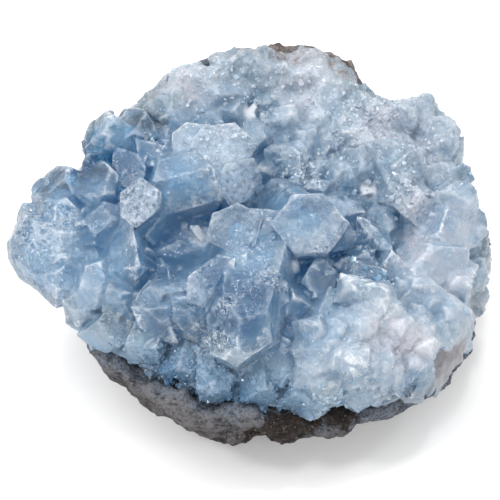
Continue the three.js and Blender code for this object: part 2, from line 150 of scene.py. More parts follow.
# Soft patches on the crust: a value all over, then middle and reach in mm, and what is added there.
patches = {
    "cloud": (0.24, [
        ((-29, -7, 50), 7, 0.2),
        ((-46, 6, 44), 9, -0.15),
        ((-54, -5, 40), 8, -0.1),
        ((-36, 13, 50), 8, -0.5),
        ((-32, 8, 46), 6, -0.3),
        ((-27, 21, 48), 6, -0.3),
        ((-21, -35, 37), 8, -0.25),
        ((-3, -34, 46), 11, -0.45),
        ((4, -28, 47), 7, -0.2),
        ((38, -37, 32), 6, 0.2),
        ((37, 1, 45), 9, 0.35),
        ((45, -10, 39), 16, 0.25),
        ((12, -15, 49), 11, 0.12),
        ((-11, 14, 50), 10, 0.4),
        ((-4, 4, 47), 7, 0.2),
        ((-10, 38, 50), 14, 0.2),
        ((13, 40, 46), 12, 0.45),
        ((37, 24, 39), 18, 0.32),
        ((29, 32, 40), 9, 0.25),
        ((13, 19, 34), 7, 0.25),
        ((-19, 36, 46), 8, 0.3),
        ((12, -44, 34), 6, 0.2),
        ((29, -38, 36), 16, 0.14),
        ((30, -36, 38), 6, 0.4),
        ((37, -38, 34), 6, 0.35),
        ((39, -28, 33), 10, 0.15),
        ((-41, -21, 33), 7, 0.35),
        ((-18, -29, 40), 9, 0.25),
        ((5, -37, 42), 6, 0.35),
        ((11, 28, 41), 7, 0.2),
        ((-21, -14, 36), 11, -0.3),
        ((4, -17, 48), 5, -0.15),
        ((-18, 3, 47), 9, -0.15),
        ((-38, -7, 43), 7, -0.15),
        ((11, 31, 37), 10, 0.3),
        ((28, -9, 37), 7, -0.3),
        ((14, -21, 41), 6, -0.2),
        ((27, -21, 38), 6, -0.1),
    ]),
    # glitter: where the crystals sparkle, with more tilted facets and with painted glitter and sparkle lines
    "glitter": (0.06, [
        ((-29, -7, 50), 7, 1.0),
        ((-51, -4, 41), 8, 0.4),
        ((-7, -35, 45), 3.5, 0.9),
        ((-9, -40, 39), 4, 1.0),
        ((-12, -35, 33), 5, 0.8),
        ((4, -28, 47), 5, 0.7),
        ((-2, -17, 48), 4, 0.6),
        ((17, -16, 47), 5, 0.6),
        ((-4, 4, 47), 8, 0.5),
        ((-11, 14, 50), 9, 0.35),
        ((-53, -8, 38), 12, 0.35),
        ((27, -21, 38), 8, 0.3),
        ((13, 19, 34), 8, 0.3),
        ((37, 24, 39), 18, 0.3),
        ((37, 1, 45), 7, 0.6),
        ((12, -44, 34), 6, 0.4),
        ((-18, -29, 40), 9, 0.2),
        ((29, -39, 34), 15, 0.3),
    ]),
    "frost": (0, [
        ((-28, -7, 50), 5.5, 0.3),
        ((-13.4, -4.8, 37), 3.2, 1),
        ((28, 9.9, 37), 2.9, 1),
        ((-1, 31.8, 43.2), 2.7, 1),
        ((10, -7, 46), 2.5, 0.7),
        ((9, -19, 41), 2, 0.8),
        ((-4, -45, 37), 3, 0.5),
        ((9, -40, 37), 3, 0.5),
    ]),
    "lilac": (0.12, [
        ((45, -10, 38), 17, 0.9),
        ((30, -38, 35), 17, 0.8),
        ((51, -25, 26), 14, 0.8),
        ((-36, 15, 50), 7, 0.7),
        ((-17, -42, 27), 10, 0.3),
        ((11, 42, 47), 12, 0.5),
        ((-10, 38, 50), 12, 0.4),
        ((-20, 34, 47), 8, 0.6),
        ((37, 24, 39), 18, 0.5),
        ((-49, -8, 41), 6, 0.3),
    ]),
    "soft": (0, [
        ((39, 22, 39), 24, 1),
        ((-19, 36, 46), 9, 0.9),
        ((13, 42, 46), 16, 0.9),
        ((-10, 38, 49), 13, 0.8),
        ((30, -38, 34), 17, 0.2),
        ((47, -12, 36), 16, 0.7),
        ((51, -28, 22), 12, 1),
        ((-48, -14, 30), 9, 0.5),
        ((13, 19, 34), 7, 0.6),
        ((-11, 14, 50), 7, 0.4),
    ]),
    "rust": (0, [
        ((-1, 48, 50), 8, 0.8),
        ((11, 49, 48), 8, 0.8),
        ((22, 46, 44), 7, 1.0),
        ((-26, 35, 45), 6, 0.9),
    ]),
    "ash": (0, [
        ((46, -32, 18), 8, 0.9),
        ((50, -27, 22), 8, 0.7),
        ((54, -13, 21), 7, 0.6),
        ((36, -42, 17), 6, 0.5),
    ]),
    "stain": (0, [
        ((7, -51, 18), 7, 0.9),
        ((1, -51, 16), 6, 0.9),
        ((12, -49, 20), 4, 0.8),
        ((20, -47, 21), 6, 1),
        ((30, -43, 19), 6, 0.35),
        ((-15, -48, 13), 7, 0.35),
        ((-7, -50, 13), 6, 0.6),
    ]),
    "grey": (0, [
        ((-13, -44, 24), 13, 0.75),
        ((5, -47, 23), 12, 0.75),
        ((-27, -38, 25), 10, 0.6),
        ((-39, -29, 22), 9, 0.5),
        ((23, -46, 21), 8, 0.5),
        ((41, -38, 17), 9, 0.35),
    ]),
    # deep: a darker, deeper blue where the crystals lie in recesses and in shade, a painted shade; below 0 it
    # is taken away
    "deep": (0, [
        ((-4, -35, 46), 10, 0.88),
        ((6, -36, 41), 6, -0.9),
        ((-17, -28, 39), 5, -0.2),
        ((-10, -26, 46), 5, 0.7),
        ((4, -29, 47), 5, 0.4),
        ((-31, 8, 46), 7, 0.75),
        ((-36, 14, 50), 8, 0.65),
        ((-42, 13, 46), 7, 0.85),
        ((-26, 21, 49), 6, 0.55),
        ((-38, -7, 43), 6.5, 0.55),
        ((-20, -34, 37), 7, 0.85),
        ((28, -21, 39), 7, 0.8),
        ((28, -26, 40), 6, 0.3),
        ((-53, -6, 41), 6, 0.35),
        ((-43, 4, 44), 7, 0.35),
        ((29, -8, 37), 7, 0.3),
        ((43, -3, 40), 6, 0.45),
        ((47, -12, 39), 8, 0.15),
        ((39, -27, 34), 7, 0.4),
        ((36, -43, 25), 8, 0.8),
        ((24, -47, 32), 6, 0.4),
        ((51, -26, 28), 8, 0.2),
        ((15, -21, 41), 6, 0.25),
        ((-21, -13, 36), 9, 0.3),
    ]),
    "crumbs": (0, [
        ((37, 24, 38), 20, 0.35),
        ((27, 35, 41), 12, 0.4),
        ((9, 41, 46), 12, 0.4),
        ((-13, 37, 48), 12, 0.35),
        ((12, 17, 33), 8, 1),
        ((-11, 14, 50), 8, 0.4),
        ((37, 1, 45), 7, 0.7),
        ((27, -21, 38), 8, 0.5),
        ((37, -35, 32), 14, 0.12),
    ]),
}


# Where the finished surface is eased from the plain solids: middle, reach and move in mm.
nudges = [
    ((60, 18, 33), 13, (-5.5, 0, 0)),
    ((46, 38, 37), 14, (-3, -1.5, 0)),
    ((59, -12, 25), 12, (-3, 0, 0)),
    ((-50, 8, 38), 12, (-3.5, 1, 0)),
    ((-44, 19, 40), 9, (2, 0, 0)),
    ((-45, 16, 43), 3.5, (3, 0, 0)),
    ((-10, 44, 52), 6, (0, -1.5, -2)),
    ((-12, 48, 50), 4, (0, -1, -1)),
    ((54, 24, 45), 4, (-2.5, 0, -0.5)),
    ((57, 13, 40), 4.5, (-2, 0, 0)),
    ((57, 4, 44), 5, (-2, 0, 0)),
    ((19, 49, 46), 9, (0, 1, 2.4)),
    ((32, 42, 42), 8, (-2, -1, -1.5)),
    ((27, -46, 17), 9, (1.5, -2.4, 0.6)),
    ((8, -49, 8), 9, (0, 1.6, 0)),
    ((14, -51.5, 15.5), 2.6, (0, 3, 2.2)),
]


# In shares of its reach: up to where a nudge or a patch is whole, and where it ends.
nudgeFade = (0.2, 1.3)
patchFade = (0.4, 1.3)


def nearness(points, middle, reach, fade):
    away = np.linalg.norm(points * 1000 - np.array(middle), axis=1)
    return 1 - ramp(away, fade[0] * reach, fade[1] * reach)


def nudged(points):
    moved = points.copy()
    for middle, reach, move in nudges:
        moved += nearness(points, middle, reach, nudgeFade)[:, None] * np.array(move) / 1000
    return moved


def patchAt(name, points):
    everywhere, places = patches[name]
    value = np.full(len(points), float(everywhere))
    for middle, reach, amount in places:
        value += amount * nearness(points, middle, reach, patchFade)
    return value


def keepPatches(piece, points, more=0):
    for name in patches:
        value = patchAt(name, points) + (more if name == "cloud" else 0)
        keep(piece, name, np.clip(value, 0, 1))


def withValleys(piece, rounds):
    # how far, in mm, each point lies under (above 0) or over (below 0) the smoothed surface
    points = places(piece.data)
    inward = smoothed(points, edgesOf(piece.data), rounds) - points
    return (inward * outward(piece.data)).sum(1) * 1000


def voxelRemesh(piece, size):
    selectOnly(piece)
    piece.data.remesh_voxel_size = size
    bpy.ops.object.voxel_remesh()


# A grain: a short, flattened crystal with a roof at its tip, one unit long.
grain = {
    "blade": {"size": (0.62, 0.4, 0.8), "roof": (1.0, 0.12), "height": 0.2, "bevel": 0.05},
    "block": {"size": (0.8, 0.7, 0.72), "roof": (0.55, 0.3), "height": 0.28, "bevel": 0.07},
    "point": {"size": (0.55, 0.5, 0.55), "roof": (0.2, 0.16), "height": 0.45, "bevel": 0.04},
    "chip": {"size": (0.85, 0.7, 0.7), "roof": (0.6, 0.3), "height": 0.3, "bevel": 0},
    "shard": {"size": (0.7, 0.35, 0.75), "roof": (0.5, 0.2), "height": 0.25, "bevel": 0},
}


topFacing = 0.9
grainFoot = 0.1  # below this the edges are hidden, and stay sharp


def roofedBlock(size, scale, middle, roof, tip):
    # a block whose top is drawn out to a roof; it is left in edit mode
    bpy.ops.mesh.primitive_cube_add(size=size, location=middle)
    piece = bpy.context.object
    piece.scale = scale
    bpy.ops.object.transform_apply(location=True, rotation=True, scale=True)
    bpy.ops.object.mode_set(mode="EDIT")
    sculpt = bmesh.from_edit_mesh(piece.data)
    for face in sculpt.faces:
        face.select_set(face.normal.z > topFacing)
    bmesh.update_edit_mesh(piece.data)
    bpy.ops.mesh.extrude_region_move(TRANSFORM_OT_translate={"value": roof})
    bpy.ops.transform.resize(value=tip)
    return piece


def makeGrain(name):
    values = grain[name]
    middle = (0, 0, values["size"][2] / 2)
    piece = roofedBlock(1, values["size"], middle, (0, 0, values["height"]), (*values["roof"], 1))
    bpy.ops.mesh.select_all(action="DESELECT")
    sculpt = bmesh.from_edit_mesh(piece.data)
    for edge in sculpt.edges:
        edge.select_set(all(corner.co.z > grainFoot for corner in edge.verts))
    bmesh.update_edit_mesh(piece.data)
    if values["bevel"]:
        bpy.ops.mesh.bevel(offset=values["bevel"], segments=1, affect="EDGES")
    bpy.ops.mesh.select_all(action="SELECT")
    bpy.ops.mesh.quads_convert_to_tris()
    bpy.ops.object.mode_set(mode="OBJECT")
    corners = places(piece.data)
    faces = np.array([list(face.vertices) for face in piece.data.polygons])
    bpy.data.objects.remove(piece)
    return corners, faces


def unit(vectors):
    return vectors / np.maximum(np.linalg.norm(vectors, axis=1), 1e-9)[:, None]


def spots(piece, weigh, count, dice):
    # points spread over a piece's faces, as thick as weigh says
    mesh = piece.data
    mesh.calc_loop_triangles()
    flat = np.empty(len(mesh.loop_triangles) * 3, int)
    mesh.loop_triangles.foreach_get("vertices", flat)
    corners = flat.reshape(-1, 3)
    points = places(mesh)
    a, b, c = (points[corners[:, k]] for k in range(3))
    cross = np.cross(b - a, c - a)
    area = np.linalg.norm(cross, axis=1)
    middle = (a + b + c) / 3
    facing = cross / np.maximum(area, 1e-12)[:, None]
    valley = kept(piece, "valley")[corners].mean(1)
    weight = area * np.maximum(weigh(middle * 1000, facing, valley), 0)
    chosen = dice.choice(len(corners), count, p=weight / weight.sum())
    u, v = dice.random(count)[:, None], dice.random(count)[:, None]
    u, v = np.where(u + v > 1, 1 - u, u), np.where(u + v > 1, 1 - v, v)
    at = a[chosen] + u * (b - a)[chosen] + v * (c - a)[chosen]
    return at, facing[chosen]


# How every grain stands: leaning outwards and a little up and to the front, and sunk deeper near the outline.
stance = {
    "outwards": (0.35, 0.35, 0),
    "upwards": (0, -0.1, 0.35),
    "halfSize": (0.058, 0.05),
    "outline": (0.75, 0.95),
    "sunkThere": 0.22,
    "askew": 0.16,
    "width": (0.75, 0.5),  # least, and how much more
    "cloudChange": 0.18,
}


def grow(name, values, carrier):
    # one mesh of many grains, each with its own place, lean, turn and size
    dice = np.random.default_rng(values["seed"])
    at, facing = spots(carrier, values["where"], values["count"], dice)
    low, high = values["size"]
    size = (low + (high - low) * dice.random(len(at)) ** values["fewLarge"]) / 1000
    halfX, halfY = stance["halfSize"]
    along = facing + at / halfY * np.array(stance["outwards"]) + np.array(stance["upwards"])
    along += values["stray"] * dice.normal(size=at.shape)
    cloud = stance["cloudChange"] * dice.normal(size=len(at)) + values.get("cloudier", 0)
    out = np.hypot(at[:, 0] / halfX, at[:, 1] / halfY)
    sunk = values["sunk"] + stance["sunkThere"] * ramp(out, *stance["outline"])
    thin, wider = stance["width"]
    allPoints, allFaces, allCloud, start = [], [], [], 0
    kindOf = dice.integers(0, len(values["kinds"]), len(at))
    for number, kind in enumerate(values["kinds"]):
        corners, faces = makeGrain(kind)
        mine = kindOf == number
        many, count = mine.sum(), len(corners)
        z = unit(along[mine])
        x = unit(np.cross(z, unit(dice.normal(size=z.shape))))
        y = np.cross(z, x)
        scale = size[mine][:, None]
        lean = stance["askew"] * dice.normal(size=(many, 2))
        local = np.repeat(corners[None], many, 0)
        local[:, :, 0] += lean[:, :1] * local[:, :, 2]
        local[:, :, 1] += lean[:, 1:] * local[:, :, 2]
        wide = scale * values["slim"] * (thin + wider * dice.random((many, 1)))
        points = (
            at[mine][:, None]
            + (local[:, :, 0] * wide)[..., None] * x[:, None]
            + (local[:, :, 1] * wide)[..., None] * y[:, None]
            + ((local[:, :, 2] - sunk[mine][:, None]) * scale)[..., None] * z[:, None]
        )
        allPoints.append(points.reshape(-1, 3))
        allFaces.append((faces[None] + start + count * np.arange(many)[:, None, None]).reshape(-1, 3))
        allCloud.append(np.repeat(cloud[mine], count))
        start += count * many
    mesh = bpy.data.meshes.new(name)
    mesh.from_pydata(np.concatenate(allPoints), [], np.concatenate(allFaces).tolist())
    mesh.shade_flat()
    piece = newObject(name, mesh)
    keepPatches(piece, places(mesh), np.concatenate(allCloud))
    print(name, len(mesh.polygons), "faces")
    return piece


# The crust's zones: the limits, in mm or in shares of the outline, between which each one fades in or out.
zones = {
    "halfSize": (58, 50),
    "up": (-0.5, 0.1),
    "back": ((12, 26), (6, 14)),
    "rim": ((0.72, 0.9), (14, 26)),
    "front": ((28, 40), (27, 33), (18, 30)),
    "side": ((0.8, 0.9), (25, 35), (32, 38)),
    "deep": (0.3, 1.6),
    "low": (46, 50),
    "lobes": ((22, 34), (-34, -26)),
    "scallops": ((9, 16), (42, 50), (32, 40), (29, 34), (-0.7, -0.2)),
    "seam": ((0.5, 1.9), (-5, 12), (-0.3, 0.3)),
}


def regions(mm, facing, valley):
    x, y, z = mm.T
    halfX, halfY = zones["halfSize"]
    out = np.hypot(x / halfX, (y + 1) / halfY)
    back, rim, front, side = zones["back"], zones["rim"], zones["front"], zones["side"]
    return {
        "up": ramp(facing[:, 2], *zones["up"]),
        "back": ramp(x + 0.6 * y, *back[0]) * ramp(y + 0.15 * x, *back[1]),
        "rim": ramp(out, *rim[0]) * ramp(y - 0.25 * x, *rim[1]),
        "front": ramp(-y, *front[0]) * (1 - ramp(z, *front[1])) * (1 - ramp(x, *front[2])),
        "side": ramp(out, *side[0]) * ramp(x - 0.3 * y, *side[1]) * (1 - ramp(z, *side[2])),
        "deep": ramp(valley, *zones["deep"]),
        "low": 1 - ramp(z, *zones["low"]),
    }


def lumpyPlaces(*where):
    at = regions(*where)
    up = np.maximum(at["up"], at["side"]) * at["low"]
    back = at["back"] * (0.6 + 0.6 * at["deep"])
    return up * (back + 0.9 * at["rim"] + 0.6 * at["side"] + 0.03 * at["deep"])


def valleyPlaces(*where):
    at = regions(*where)
    up = np.maximum(at["up"], at["side"])
    inside = 0.35 * at["deep"] + 0.8 * at["back"]
    return up * (inside + 0.15 * at["rim"] + 0.35 * at["front"] + 0.7 * at["side"])


def lobePlaces(*where):
    at = regions(*where)
    x, y = where[0].T[:2]
    outwards, frontwards = zones["lobes"]
    return at["up"] * ramp(x - 0.3 * y, *outwards) * (1 - ramp(y, *frontwards))


def scallopPlaces(mm, facing, valley):
    x, y, z = mm.T
    left, right, front, top, under = zones["scallops"]
    across = ramp(x, *left) * (1 - ramp(x, *right))
    return across * ramp(-y, *front) * (1 - ramp(z, *top)) * ramp(facing[:, 2], *under)


def bumpPlaces(*where):
    at = regions(*where)
    return np.maximum(at["up"], at["side"]) * (at["back"] + 0.9 * at["rim"] + 0.4 * at["side"])


def crumbPlaces(*where):
    at = regions(*where)
    return at["up"] * patchAt("crumbs", where[0] / 1000)


def seamPlaces(mm, facing, away):
    # the rind's rim, in front and at the sides, close to the foot of the crust; away says how far off that is
    close, backwards, up = zones["seam"]
    return (1 - ramp(away, *close)) * (1 - ramp(mm[:, 1], *backwards)) * ramp(facing[:, 2], *up)


def sugarPlaces(*where):
    at = regions(*where)
    return at["up"] * at["front"] + 0.15 * at["side"] * (1 - at["up"])


skirt = {"count": 900, "size": (1.3, 2.8), "fewLarge": 1.4, "slim": 1.2, "sunk": 0.55, "stray": 0.35,
         "kinds": ("block", "blade"), "seed": 16, "where": seamPlaces}

growth = {
    "lobes": {"count": 75, "size": (5.5, 9.5), "fewLarge": 1.3, "slim": 1.2, "sunk": 0.64, "stray": 0.35,
              "kinds": ("block",), "seed": 14, "where": lobePlaces},
    "scallops": {"count": 150, "size": (2.4, 4.5), "fewLarge": 1.2, "slim": 1.3, "sunk": 0.6, "stray": 0.3,
                 "kinds": ("block",), "seed": 17, "where": scallopPlaces},
    "bumps": {"count": 900, "size": (1.8, 4.2), "fewLarge": 1.5, "slim": 1.2, "sunk": 0.62, "stray": 0.4,
              "kinds": ("block", "blade"), "seed": 15, "where": bumpPlaces},
    "lumps": {"count": 190, "size": (6, 11), "fewLarge": 1.2, "slim": 1.15, "sunk": 0.76, "stray": 0.3,
              "kinds": ("block",), "seed": 11, "where": lumpyPlaces},
    "crystals": {"count": 640, "size": (2.8, 6.0), "fewLarge": 1.6, "slim": 1.1, "sunk": 0.68, "stray": 0.4,
                 "kinds": ("block", "blade", "point"), "seed": 12, "where": valleyPlaces},
}

# White splinters that stand on the crust: place in mm, the way they point, length and width in mm.
splinters = [
    ((-13.3, -4.9, 36.8), (-0.62, 0.43, 0.68), 4.2, 2.4),
    ((27.8, 9.9, 36.9), (0.95, 0.2, 0.2), 3.4, 2.4),
    ((-1, 31.8, 43.1), (0.53, 0.62, 0.58), 3.8, 2.0),
    ((11.5, -6.5, 46), (0.5, -0.7, 0.4), 4.2, 2.4),
    ((-38.5, 11.5, 41), (-0.15, 0.1, 1), 9, 6),
]

splinterForm = {
    "flat": 0.35,  # thickness, as a share of the width
    "roof": (0.0003, 0, 0.0005),  # how far the tip is drawn out, for each mm of width
    "tip": (0.2, 0.3, 1),
}

crust = {
    "carrierVoxel": 0.001,
    "carrierRounds": 50,
    "valleyRounds": 160,
    "ridgeRounds": 4,
    "ridge": (0.06, 0.24),
    # valleys are made less milky, so clearer and a darker blue: partly clearer crystal, partly painted shade
    # in the recesses
    "clearer": 0.15,  # in valleys
    "clearerIn": (0.2, 2.2),
    "voxel": 0.0004,
    "softRounds": 16,
    "waves": 0.0002,
    "waveSize": 0.005,
    "steps": 0.00035,
    "stepSize": 0.003,
    "pitted": 0.0005,
    "pitSize": 0.0013,
    "mostFaces": 175000,
    "overgrowth": 0.0003,
    "pressed": 0.2,
}

roots = {
    "voxel": 0.0011,
    "depth": 0.0038,
    "rounds": 6,
}


def makeRoots(piece):
    # the cloudy mass that the clear crystals grow from, evenly deep under their surface
    fog = newObject("fog", bpy.data.volumes.new("fog"))
    made = newObject("cloudy_roots", bpy.data.meshes.new("cloudy_roots"))
    grid = {"resolution_mode": "VOXEL_SIZE", "voxel_size": roots["voxel"]}
    addModifier(fog, "MESH_TO_VOLUME", object=piece, interior_band_width=2 * roots["depth"], **grid)
    addModifier(made, "VOLUME_TO_MESH", object=fog, threshold=0.5, **grid)
    applyModifiers(made)
    bpy.data.objects.remove(fog)
    mesh = made.data
    points = smoothed(places(mesh), edgesOf(mesh), roots["rounds"])
    mesh.vertices.foreach_set("co", points.ravel())
    mesh.update()
    mesh.shade_smooth()
    keepPatches(made, points)
    print("roots", len(mesh.polygons), "faces")
    return made


def makeSplinters():
    made = []
    for place, direction, length, width in splinters:
        scale = (width, splinterForm["flat"] * width, length)
        roof = [width * share for share in splinterForm["roof"]]
        piece = roofedBlock(0.001, scale, (0, 0, 0), roof, splinterForm["tip"])
        bpy.ops.object.mode_set(mode="OBJECT")
        piece.rotation_mode = "QUATERNION"
        piece.rotation_quaternion = Vector(direction).to_track_quat("Z", "Y")
        piece.location = Vector(place) / 1000
        bpy.ops.object.transform_apply(location=True, rotation=True, scale=True)
        made.append(piece)
    return made


sectors = 72


def sectorOf(points):
    # which of the sectors round the upright axis each point is in
    return ((np.arctan2(points[:, 1], points[:, 0]) / (2 * math.pi)) % 1 * sectors).astype(int)


def evenedRound(values):
    return (np.roll(values, 1) + values + np.roll(values, -1)) / 3


def reachRound(points):
    # how far out the points reach, in each sector
    sector = sectorOf(points)
    out = np.hypot(points[:, 0], points[:, 1])
    reach = np.zeros(sectors)
    np.maximum.at(reach, sector, out)
    return sector, out, reach


def trimmed(points, limit):
    # what has grown out past the solid is pressed back towards it
    sector, out, _ = reachRound(points)
    allowed = limit[sector] + crust["overgrowth"]
    past = np.maximum(out - allowed, 0)
    share = 1 - (1 - crust["pressed"]) * past / np.maximum(out, 1e-6)
    return points * np.stack((share, share, np.ones_like(share)), axis=1)


def grownTogether():
    # the solid with all that grows on it, joined, and how far out each sector may reach
    carrier = copyOfNode("crystal_crust", "carrier")
    voxelRemesh(carrier, crust["carrierVoxel"])
    keep(carrier, "valley", withValleys(carrier, crust["carrierRounds"]))
    piece = copyOfNode("crystal_crust", "celestite_crust")
    grown = [grow(name, values, carrier) for name, values in growth.items()] + makeSplinters()
    rim = copyOfNode("rind", "rim")
    voxelRemesh(rim, crust["carrierVoxel"])
    foot = BVHTree.FromObject(carrier, bpy.context.evaluated_depsgraph_get())
    keep(rim, "valley", [foot.find_nearest(Vector(point))[3] * 1000 for point in places(rim.data)])
    grown.append(grow("skirt", skirt, rim))
    limit = reachRound(np.concatenate((places(piece.data), places(rim.data))))[2]
    for helper in (carrier, rim):
        bpy.data.objects.remove(helper)
    selectOnly(piece)
    for part in grown:
        part.select_set(True)
    bpy.ops.object.join()
    return piece, np.minimum(limit, evenedRound(limit))


def crustRelief(piece, soft):
    addGroup(piece, "soft", soft)
    waves = newTexture("waves", "CLOUDS", noise_scale=crust["waveSize"], noise_depth=1)
    steps = newTexture("steps", "VORONOI", noise_scale=crust["stepSize"], distance_metric="CHEBYCHEV",
                       color_mode="POSITION")
    pits = newTexture("pits", "CLOUDS", noise_scale=crust["pitSize"], noise_depth=2)
    displace(piece, waves, crust["waves"])
    displace(piece, steps, crust["steps"])
    displace(piece, pits, crust["pitted"], "soft")
    applyModifiers(piece)
    piece.vertex_groups.clear()


def makeCrust():
    piece, limit = grownTogether()
    voxelRemesh(piece, crust["voxel"])
    points = nudged(trimmed(places(piece.data), limit))
    soft = np.clip(patchAt("soft", points), 0, 1)
    rounded = smoothed(points, edgesOf(piece.data), crust["softRounds"])
    piece.data.vertices.foreach_set("co", (points + soft[:, None] * (rounded - points)).ravel())
    piece.data.update()
    crustRelief(piece, soft)
    share = crust["mostFaces"] / (2 * len(piece.data.polygons))
    addModifier(piece, "DECIMATE", ratio=min(1, share), use_collapse_triangulate=True)
    applyModifiers(piece)
    valley = withValleys(piece, crust["valleyRounds"])
    points = places(piece.data)
    keep(piece, "valley", valley)
    keep(piece, "ridge", ramp(-withValleys(piece, crust["ridgeRounds"]), *crust["ridge"]))
    # less milky in valleys: clearer crystal, and in part painted shade
    keepPatches(piece, points, -crust["clearer"] * ramp(valley, *crust["clearerIn"]))
    piece.data.shade_smooth()
    print("crust", len(piece.data.polygons), "faces")
    return piece


druse = {
    "sugar": {"count": 3600, "size": (0.5, 1.4), "fewLarge": 1.6, "slim": 1.1, "sunk": 0.72, "stray": 0.6,
              "kinds": ("chip", "shard"), "seed": 5, "cloudier": -0.1, "where": sugarPlaces},
    "frost": {"count": 1500, "size": (0.6, 1.5), "fewLarge": 1.7, "slim": 1.15, "sunk": 0.8, "stray": 0.6,
              "kinds": ("chip", "shard"), "seed": 6, "cloudier": 0.1, "where": crumbPlaces},
}


def makeDruse(carrier):
    return [grow("druse_" + name, values, carrier) for name, values in druse.items()]


stone = {
    "levels": 3,
    "evened": 16,
    "front": (5, 20),
    "nearRim": (0.5, 8),  # mm under the rim
    "frontHalf": (0, 18),
    "roundness": (1, 1.2, 0),
    "middle": (0, 0, 32),
    "outer": (0, 0.35),
    "ledge": (8, 12),
    "foot": (0.4, 2.5),
    "hollowRounds": 30,
    "hollow": (-0.3, 0.5),
    "rim": (0.8, 5.5),  # mm from the crust
    "worn": 70,
    "lumps": 0.0008,
    "lumpSize": 0.006,
    "layers": 0.0008,
    "layerSize": 0.0012,
    "flattened": (4, 4, 1),
    "grit": 0.0004,
    "gritSize": 0.0009,
    "knobs": 0.0032,
    "knobSize": 0.0045,
    "pitted": 0.0011,
    "pitSize": 0.0022,
    "swell": 0.9,
    "raise": 0.5,
}


def underRim(mm):
    # how far, in mm, each point of the rind lies under its rim
    sector = sectorOf(mm)
    top = np.zeros(sectors)
    np.maximum.at(top, sector, mm[:, 2])
    return evenedRound(top)[sector] - mm[:, 2]


def rindForm(mesh):
    # the solid's facets evened out, worn smooth in front, and swollen under the rim
    edges = edgesOf(mesh)
    points = smoothed(places(mesh), edges, stone["evened"])
    front = ramp(-points[:, 1] * 1000, *stone["front"])[:, None]
    points += front * (smoothed(points, edges, stone["worn"]) - points)
    mm = points * 1000
    radial = unit(mm * np.array(stone["roundness"]))
    near = (1 - ramp(underRim(mm), *stone["nearRim"])) * (1 - ramp(mm[:, 1], *stone["frontHalf"]))
    points += near[:, None] * (stone["swell"] * radial + np.array((0, 0, stone["raise"]))) / 1000
    points = nudged(points)
    mesh.vertices.foreach_set("co", points.ravel())
    mesh.update()
    return points


def rindRelief(piece, points):
    # rough on the outside, down to just above the flat spot, and knobbly where it is rusty
    mm = points * 1000
    normals = outward(piece.data)
    outside = ramp((normals * unit(mm - np.array(stone["middle"]))).sum(1), *stone["outer"])
    outside = np.maximum(outside, ramp(-mm[:, 1], *stone["front"]) * ramp(mm[:, 2], *stone["ledge"]))
    above = ramp(mm[:, 2], *stone["foot"])
    addGroup(piece, "outside", outside * above)
    addGroup(piece, "rusty", np.clip(patchAt("rust", points), 0, 1) * above)
    knobs = newTexture("knobs", "CLOUDS", noise_scale=stone["knobSize"], noise_depth=2)
    lumps = newTexture("lumps", "MUSGRAVE", noise_scale=stone["lumpSize"], octaves=4)
    layers = newTexture("layers", "CLOUDS", noise_scale=stone["layerSize"], noise_depth=3)
    grit = newTexture("grit", "VORONOI", noise_scale=stone["gritSize"])
    pits = newTexture("rimPits", "VORONOI", noise_scale=stone["pitSize"])
    flattener = newObject("flattener", None)  # the layers are longer than they are thick
    flattener.scale = stone["flattened"]
    bpy.context.view_layer.update()
    flat = {"texture_coords": "OBJECT", "texture_coords_object": flattener}
    displace(piece, lumps, stone["lumps"], "outside")
    displace(piece, layers, stone["layers"], "outside", **flat)
    displace(piece, grit, stone["grit"], "outside")
    displace(piece, knobs, stone["knobs"], "rusty")
    displace(piece, pits, stone["pitted"], "rusty")
    applyModifiers(piece)
    bpy.data.objects.remove(flattener)
    piece.vertex_groups.clear()


def makeRind(cover):
    piece = copyOfNode("rind", "stone_rind")
    levels = stone["levels"]
    addModifier(piece, "SUBSURF", levels=levels, render_levels=levels, subdivision_type="SIMPLE")
    applyModifiers(piece)
    mesh = piece.data
    rindRelief(piece, rindForm(mesh))
    mesh.shade_smooth()
    # painted shade: the rock is painted darker in its hollows
    keep(piece, "hollow", ramp(withValleys(piece, stone["hollowRounds"]), *stone["hollow"]))
    foot = BVHTree.FromObject(cover, bpy.context.evaluated_depsgraph_get())
    away = np.array([foot.find_nearest(Vector(point))[3] * 1000 for point in places(mesh)])
    keep(piece, "rim", 1 - ramp(away, *stone["rim"]))
    keepPatches(piece, places(mesh))
    print("rind", len(mesh.polygons), "faces")
    return piece


def newMaterial(name):
    material = bpy.data.materials.new(name)
    material.use_nodes = True
    tree = material.node_tree
    return material, tree, tree.nodes["Principled BSDF"]


def fill(tree, made, inputs):
    # sockets are linked, and anything else is set as the input's own value
    for key, value in inputs.items():
        if isinstance(value, bpy.types.NodeSocket):
            tree.links.new(value, made.inputs[key])
        else:
            made.inputs[key].default_value = value


def node(tree, kind, inputs, **values):
    made = tree.nodes.new("ShaderNode" + kind)
    for key, value in values.items():
        setattr(made, key, value)
    fill(tree, made, inputs)
    return made


def here(tree):
    return node(tree, "TexCoord", {}).outputs["Object"]


def sums(tree, operation, a, b, clamp=False):
    return node(tree, "Math", {0: a, 1: b}, operation=operation, use_clamp=clamp).outputs[0]


def times(tree, a, b, clamp=False):
    return sums(tree, "MULTIPLY", a, b, clamp)


def plus(tree, a, b, clamp=False):
    return sums(tree, "ADD", a, b, clamp)


def minus(tree, a, b):
    return sums(tree, "SUBTRACT", a, b)


def largest(tree, *values):
    most = values[0]
    for value in values[1:]:
        most = sums(tree, "MAXIMUM", most, value)
    return most


def between(tree, value, limits):
    # 0 up to the first limit, 1 from the second
    return node(tree, "MapRange", {"Value": value, 1: limits[0], 2: limits[1]}).outputs[0]


def vectors(tree, operation, a, b):
    return node(tree, "VectorMath", {0: a, 1: b}, operation=operation).outputs[0]


def stretched(tree, vector, share):
    return node(tree, "VectorMath", {0: vector, "Scale": share}, operation="SCALE").outputs[0]


